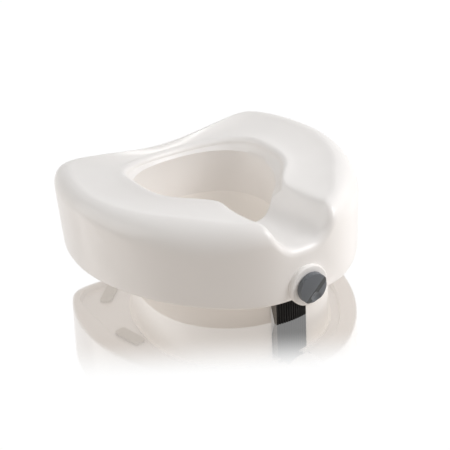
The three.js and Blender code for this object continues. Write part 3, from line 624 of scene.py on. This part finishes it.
def make_camera():
    """A long lens in front and to the left, looking down, turned a little on its own axis."""
    azimuth, elevation, roll = CAMERA_TURN
    shift_x, shift_y = CAMERA_SHIFT
    back = Vector((math.sin(azimuth) * math.cos(elevation), -math.cos(azimuth) * math.cos(elevation),
                   math.sin(elevation)))
    level = Vector((math.cos(azimuth), math.sin(azimuth), 0))
    upright = level.cross(-back)
    right = level * math.cos(roll) - upright * math.sin(roll)
    up = level * math.sin(roll) + upright * math.cos(roll)
    spot = Vector(CAMERA_TARGET) + back * CAMERA_DISTANCE - right * shift_x - up * shift_y
    data = bpy.data.cameras.new("camera")
    data.sensor_width = 36
    data.lens = CAMERA_LENS
    data.clip_end = 100
    camera = bpy.data.objects.new("camera", data)
    bpy.context.scene.collection.objects.link(camera)
    camera.matrix_world = Matrix((
        (right.x, up.x, back.x, spot.x / 1000),
        (right.y, up.y, back.y, (spot.y + SHIFT_Y) / 1000),
        (right.z, up.z, back.z, (spot.z + SHIFT_Z) / 1000),
        (0, 0, 0, 1)))
    bpy.context.scene.camera = camera


# ---------- studio ----------
WHITE_LEVEL = 1.02  # of the floor and the world, as seen directly and in mirrors
FLOOR_BOUNCE, WORLD_BOUNCE = 0.37, 0.17  # what they give to diffuse surfaces
MIRROR_SHARE = 0.8  # of the floor's look near the object
FADE_START, FADE_END = 0.15, 0.25  # metres in front of the origin
FADE_DIRECTION = (-0.519, -0.855, 0)
LIGHT_AIM = (0, 0, 0.1)


def area_light(name, spot, size, power, colour):
    """A rectangular light at spot, aimed at the object."""
    data = bpy.data.lights.new(name, "AREA")
    data.shape = "RECTANGLE"
    data.size, data.size_y = size
    data.energy = power
    data.color = colour
    light = bpy.data.objects.new(name, data)
    bpy.context.scene.collection.objects.link(light)
    light.location = spot
    light.rotation_euler = (Vector(LIGHT_AIM) - Vector(spot)).to_track_quat("-Z", "Y").to_euler()


def make_floor():
    """A white glossy table whose reflections fade away in front of the object."""
    bpy.ops.mesh.primitive_grid_add(x_subdivisions=4, y_subdivisions=4, size=40)
    floor = bpy.context.object
    floor.name = "studio_floor"
    material, nodes, links, shader = new_material("white_gloss_floor")
    shader.inputs["Base Color"].default_value = (0.3, 0.28, 0.26, 1)
    shader.inputs["Roughness"].default_value = 1.0
    shader.inputs["Specular IOR Level"].default_value = 0.0
    shader.inputs["Emission Color"].default_value = (1.0, 0.87, 0.76, 1)
    shader.inputs["Emission Strength"].default_value = FLOOR_BOUNCE
    white = nodes.new("ShaderNodeEmission")
    white.inputs["Strength"].default_value = WHITE_LEVEL
    mirror = nodes.new("ShaderNodeBsdfGlossy")
    mirror.inputs["Roughness"].default_value = 0.05
    mirror.inputs["Color"].default_value = (1, 1, 1, 1)
    where = nodes.new("ShaderNodeTexCoord").outputs["Object"]
    along = nodes.new("ShaderNodeVectorMath")
    along.operation = "DOT_PRODUCT"
    along.inputs[1].default_value = FADE_DIRECTION
    links.new(where, along.inputs[0])
    fade = nodes.new("ShaderNodeMapRange")
    fade.interpolation_type = "SMOOTHSTEP"
    fade.inputs["From Min"].default_value = FADE_START
    fade.inputs["From Max"].default_value = FADE_END
    fade.inputs["To Min"].default_value = MIRROR_SHARE
    fade.inputs["To Max"].default_value = 0.0
    links.new(along.outputs["Value"], fade.inputs["Value"])
    seen = nodes.new("ShaderNodeMixShader")
    links.new(fade.outputs["Result"], seen.inputs["Fac"])
    links.new(white.outputs["Emission"], seen.inputs[1])
    links.new(mirror.outputs["BSDF"], seen.inputs[2])
    path = nodes.new("ShaderNodeLightPath")
    blend = nodes.new("ShaderNodeMixShader")
    links.new(path.outputs["Is Diffuse Ray"], blend.inputs["Fac"])
    links.new(seen.outputs["Shader"], blend.inputs[1])
    links.new(shader.outputs["BSDF"], blend.inputs[2])
    links.new(blend.outputs["Shader"], nodes["Material Output"].inputs["Surface"])
    floor.data.materials.append(material)


def make_world():
    """A white room for what is seen and mirrored, and a dim one for the soft light it gives."""
    world = bpy.data.worlds.new("studio")
    world.use_nodes = True
    bpy.context.scene.world = world
    nodes, links = world.node_tree.nodes, world.node_tree.links
    white = nodes["Background"]
    white.inputs["Color"].default_value = (1, 1, 1, 1)
    white.inputs["Strength"].default_value = WHITE_LEVEL
    soft = nodes.new("ShaderNodeBackground")
    soft.inputs["Color"].default_value = (1.0, 0.97, 0.94, 1)
    soft.inputs["Strength"].default_value = WORLD_BOUNCE
    path = nodes.new("ShaderNodeLightPath")
    blend = nodes.new("ShaderNodeMixShader")
    links.new(path.outputs["Is Diffuse Ray"], blend.inputs["Fac"])
    links.new(white.outputs["Background"], blend.inputs[1])
    links.new(soft.outputs["Background"], blend.inputs[2])
    links.new(blend.outputs["Shader"], nodes["World Output"].inputs["Surface"])


def make_lights():
    """Soft lights from the front right and the back left, weaker ones above and from the right."""
    area_light("overhead", (0.0, 0.6, 2.0), (2.6, 2.2), 3.5, (0.97, 0.98, 1.0))
    area_light("key", (0.95, -0.95, 1.35), (1.2, 1.0), 24, (0.99, 0.99, 1.0))
    area_light("right", (2.0, 0.0, 0.9), (1.5, 1.4), 3, (1.0, 0.99, 0.99))
    area_light("left", (-1.9, 1.0, 0.9), (2.2, 1.6), 18, (1.0, 0.99, 0.98))


# The seat's and the guard's plastics glow faintly: painted light that lifts their shade.
WHITE = plastic("seat_white_plastic", (0.86, 0.84, 0.82), (0.89, 0.87, 0.85), 0.34, coat=0.2, painted_glow=0.06)
IVORY = plastic("guard_ivory_plastic", (0.9, 0.875, 0.84), (0.92, 0.895, 0.86), 0.36, painted_glow=0.08)
GREY = plastic("knob_grey_plastic", (0.145, 0.157, 0.172), (0.165, 0.178, 0.193), 0.42, 1600.0,
               gloss=0.25)
# Painted shade: this plastic is darker for the ridge's shadow on the grip face; its rougher grain is its
# own.
GRIP_PAINTED_SHADE_GREY = plastic("knob_grip_painted_shade_plastic", (0.03, 0.032, 0.032), (0.045, 0.047, 0.047), 0.6, 1400.0,
                    0.0001, gloss=0.25)
BLACK = plastic("clamp_black_plastic", (0.02, 0.02, 0.021), (0.028, 0.028, 0.03), 0.45, 1200.0)
RUBBER = rubber("black_rubber", (0.011, 0.01, 0.0095), (0.018, 0.0165, 0.0155), 0.6, 0.15)
# Partly painted: the smooth sides' gloss is the rubber's own, their much lighter colour is painted
# sheen.
SMOOTH_RUBBER_PAINTED_SHEEN = rubber("black_rubber_smooth_painted_sheen", (0.12, 0.11, 0.1), (0.17, 0.157, 0.143), 0.3, 0.7)
PALE_RUBBER = rubber("pale_rubber", (0.74, 0.72, 0.68), (0.78, 0.76, 0.72), 0.55, 0.3)
STEEL = steel("zinc_plated_steel")

finish_piece(make_seat_body(), WHITE, "seat_white", "seat", "seat_body")
finish_piece(make_guard(), IVORY, "guard_ivory", "seat", "splash_guard")
knob = make_knob()
finish_piece(knob, GREY, "knob_grey", "knob", "knob")
# The sloping grip face takes the darker plastic: painted shade from the ridge.
knob.data.materials.append(GRIP_PAINTED_SHADE_GREY)
mark_grip_painted_shade(knob)
pad = make_pad()
finish_piece(pad, RUBBER, "rubber_black", "clamp", "clamp_pad")
# The pad's smooth side faces take the lighter rubber, whose lighter colour is painted sheen.
pad.data.materials.append(SMOOTH_RUBBER_PAINTED_SHEEN)
for face in pad.data.polygons:
    if abs(face.normal.x) > 0.9 and abs(face.center.x) > (PAD_HALF - 0.2) / 1000:
        face.material_index = 1

SHOWN_CAD = {"seat_white": WHITE, "guard_ivory": IVORY, "knob_grey": GREY, "clamp_black": BLACK,
             "rubber_black": RUBBER, "rubber_pale": PALE_RUBBER, "steel": STEEL}
for part in frame["record"]["subparts"]:
    for holder in frame["nodes"][part["node"]].material_slots:
        holder.link = "OBJECT"
        holder.material = SHOWN_CAD[part["material_slot"]]

make_camera()
make_world()
make_lights()
make_floor()
bpy.context.scene.view_settings.view_transform = "Standard"
